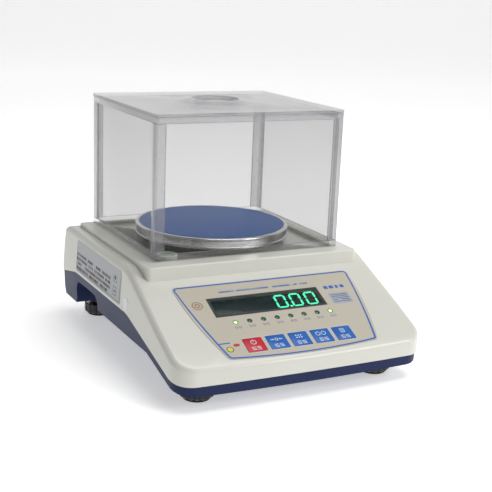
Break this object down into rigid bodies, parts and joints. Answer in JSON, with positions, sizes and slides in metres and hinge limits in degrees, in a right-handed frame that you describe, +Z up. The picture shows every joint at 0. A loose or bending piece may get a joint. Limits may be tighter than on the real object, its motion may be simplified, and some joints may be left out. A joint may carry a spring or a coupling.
{
  "type": "analytical balance",
  "caption": "Electronic precision balance with a round pan under a clear lift-off draft shield, a sloped key console and screw-adjusted levelling feet.",
  "frame": {"origin": "middle of the footprint on the table plane under the feet", "axes": "+Z up, the operator's console faces -Y, +X is the operator's right"},
  "size_m": [0.2101, 0.261, 0.1994],
  "materials": {
    "ivory_casing": "fine moulded texture",
    "blue_casing": "fine moulded texture",
    "printed_overlay": "printed polyester film",
    "smoked_window": "polished",
    "display_glass": "polished",
    "key_blue": "satin",
    "key_red": "satin",
    "lamp_lens": "clear lens",
    "circuit_board": "solder resist",
    "component_black": "moulded",
    "zinc_steel": "zinc plated",
    "pan_steel": "polished stainless",
    "machined_aluminium": "machined",
    "base_steel": "painted plate",
    "black_plastic": "moulded",
    "foot_rubber": "moulded",
    "cushion_rubber": "moulded",
    "brass": "knurled insert",
    "clear_panel": "clear acrylic",
    "clear_frame": "clear moulded acrylic, thick sections",
    "level_glass": "clear",
    "level_liquid": "tinted liquid",
    "level_body": "moulded",
    "pan_film_blue": "protective film",
    "silver_label": "printed foil",
    "silver_seal": "foil",
    "tag_print": "printed film",
    "badge_print": "printed film"
  },
  "bodies": {
    "casing": {"top_housing": "ivory_casing", "bottom_housing": "blue_casing", "case_screws": "zinc_steel", "console_overlay": "printed_overlay", "display_window": "smoked_window", "display_module": "display_glass", "indicator_leds": "lamp_lens", "key_switches": "component_black", "console_board": "circuit_board", "information_tag": "tag_print", "panel_badge": "badge_print", "board_screws": "zinc_steel", "load_cell": "machined_aluminium", "load_cell_base": "base_steel", "load_cell_bolts": "zinc_steel", "overload_stops": "zinc_steel", "spindle_collar": "black_plastic", "level_cup": "level_body", "level_glass": "level_glass", "level_liquid": "level_liquid", "foot_inserts": "brass", "main_board": "circuit_board", "board_components": "component_black", "socket_board": "circuit_board", "serial_port": "zinc_steel", "power_jack": "black_plastic", "rating_label": "silver_label", "calibration_seal": "silver_seal"},
    "pan_platform": {"pan_bracket": "machined_aluminium", "bracket_bolts": "zinc_steel", "pan_spindle": "machined_aluminium", "pan_support": "black_plastic", "support_cushions": "cushion_rubber"},
    "pan": {"weighing_pan": "pan_steel", "pan_film": "pan_film_blue"},
    "draft_shield": {"shield_bottom_rail": "clear_frame", "shield_top_rail": "clear_frame", "shield_posts": "clear_frame", "shield_front_panel": "clear_panel", "shield_rear_panel": "clear_panel", "shield_left_panel": "clear_panel", "shield_right_panel": "clear_panel"},
    "lid": {"shield_lid": "clear_frame"},
    "power_key": {"key_power": "key_red"},
    "tare_key": {"key_tare": "key_blue"},
    "count_key": {"key_count": "key_blue"},
    "unit_key": {"key_unit": "key_blue"},
    "print_key": {"key_print": "key_blue"},
    "foot_front_left": {"foot_pad_front_left": "foot_rubber"},
    "foot_screw_front_left": {"foot_wheel_front_left": "black_plastic", "foot_stud_front_left": "zinc_steel"},
    "foot_front_right": {"foot_pad_front_right": "foot_rubber"},
    "foot_screw_front_right": {"foot_wheel_front_right": "black_plastic", "foot_stud_front_right": "zinc_steel"},
    "foot_rear_left": {"foot_pad_rear_left": "foot_rubber"},
    "foot_screw_rear_left": {"foot_wheel_rear_left": "black_plastic", "foot_stud_rear_left": "zinc_steel"},
    "foot_rear_right": {"foot_pad_rear_right": "foot_rubber"},
    "foot_screw_rear_right": {"foot_wheel_rear_right": "black_plastic", "foot_stud_rear_right": "zinc_steel"}
  },
  "joints": [
    {"name": "power_key_press", "type": "slide", "parent": "casing", "child": "power_key", "axis": [0, 0.4104, -0.9119], "range_m": [0, 0.0004], "stiffness_N_per_m": 2500},
    {"name": "tare_key_press", "type": "slide", "parent": "casing", "child": "tare_key", "axis": [0, 0.4104, -0.9119], "range_m": [0, 0.0004], "stiffness_N_per_m": 2500},
    {"name": "count_key_press", "type": "slide", "parent": "casing", "child": "count_key", "axis": [0, 0.4104, -0.9119], "range_m": [0, 0.0004], "stiffness_N_per_m": 2500},
    {"name": "unit_key_press", "type": "slide", "parent": "casing", "child": "unit_key", "axis": [0, 0.4104, -0.9119], "range_m": [0, 0.0004], "stiffness_N_per_m": 2500},
    {"name": "print_key_press", "type": "slide", "parent": "casing", "child": "print_key", "axis": [0, 0.4104, -0.9119], "range_m": [0, 0.0004], "stiffness_N_per_m": 2500},
    {"name": "weighing_deflection", "type": "slide", "parent": "casing", "child": "pan_platform", "axis": [0, 0, -1], "range_m": [0, 0.0004], "stiffness_N_per_m": 15000, "springref_m": -0.0004, "deforming": ["load_cell"]},
    {"name": "pan_lift_off", "type": "slide", "parent": "pan_platform", "child": "pan", "axis": [0, 0, 1], "range_m": [0, 0.04]},
    {"name": "shield_lift_off", "type": "slide", "parent": "casing", "child": "draft_shield", "axis": [0, 0, 1], "range_m": [0, 0.04]},
    {"name": "lid_lift_off", "type": "slide", "parent": "draft_shield", "child": "lid", "axis": [0, 0, 1], "range_m": [0, 0.06]},
    {"name": "foot_front_left_extend", "type": "slide", "parent": "casing", "child": "foot_front_left", "axis": [0, 0, -1], "range_m": [0, 0.006]},
    {"name": "foot_front_left_turn", "type": "hinge", "parent": "foot_front_left", "child": "foot_screw_front_left", "pos_m": [-0.0765, -0.1, 0.007], "axis": [0, 0, -1], "range_deg": [0, 1728]},
    {"name": "foot_front_right_extend", "type": "slide", "parent": "casing", "child": "foot_front_right", "axis": [0, 0, -1], "range_m": [0, 0.006]},
    {"name": "foot_front_right_turn", "type": "hinge", "parent": "foot_front_right", "child": "foot_screw_front_right", "pos_m": [0.0765, -0.1, 0.007], "axis": [0, 0, -1], "range_deg": [0, 1728]},
    {"name": "foot_rear_left_extend", "type": "slide", "parent": "casing", "child": "foot_rear_left", "axis": [0, 0, -1], "range_m": [0, 0.006]},
    {"name": "foot_rear_left_turn", "type": "hinge", "parent": "foot_rear_left", "child": "foot_screw_rear_left", "pos_m": [-0.0765, 0.112, 0.007], "axis": [0, 0, -1], "range_deg": [0, 1728]},
    {"name": "foot_rear_right_extend", "type": "slide", "parent": "casing", "child": "foot_rear_right", "axis": [0, 0, -1], "range_m": [0, 0.006]},
    {"name": "foot_rear_right_turn", "type": "hinge", "parent": "foot_rear_right", "child": "foot_screw_rear_right", "pos_m": [0.0765, 0.112, 0.007], "axis": [0, 0, -1], "range_deg": [0, 1728]}
  ],
  "couplings": [
    {"joint": "foot_front_left_extend", "follows": "foot_front_left_turn", "m_per_rad": 0.00019894},
    {"joint": "foot_front_right_extend", "follows": "foot_front_right_turn", "m_per_rad": 0.00019894},
    {"joint": "foot_rear_left_extend", "follows": "foot_rear_left_turn", "m_per_rad": 0.00019894},
    {"joint": "foot_rear_right_extend", "follows": "foot_rear_right_turn", "m_per_rad": 0.00019894}
  ]
}
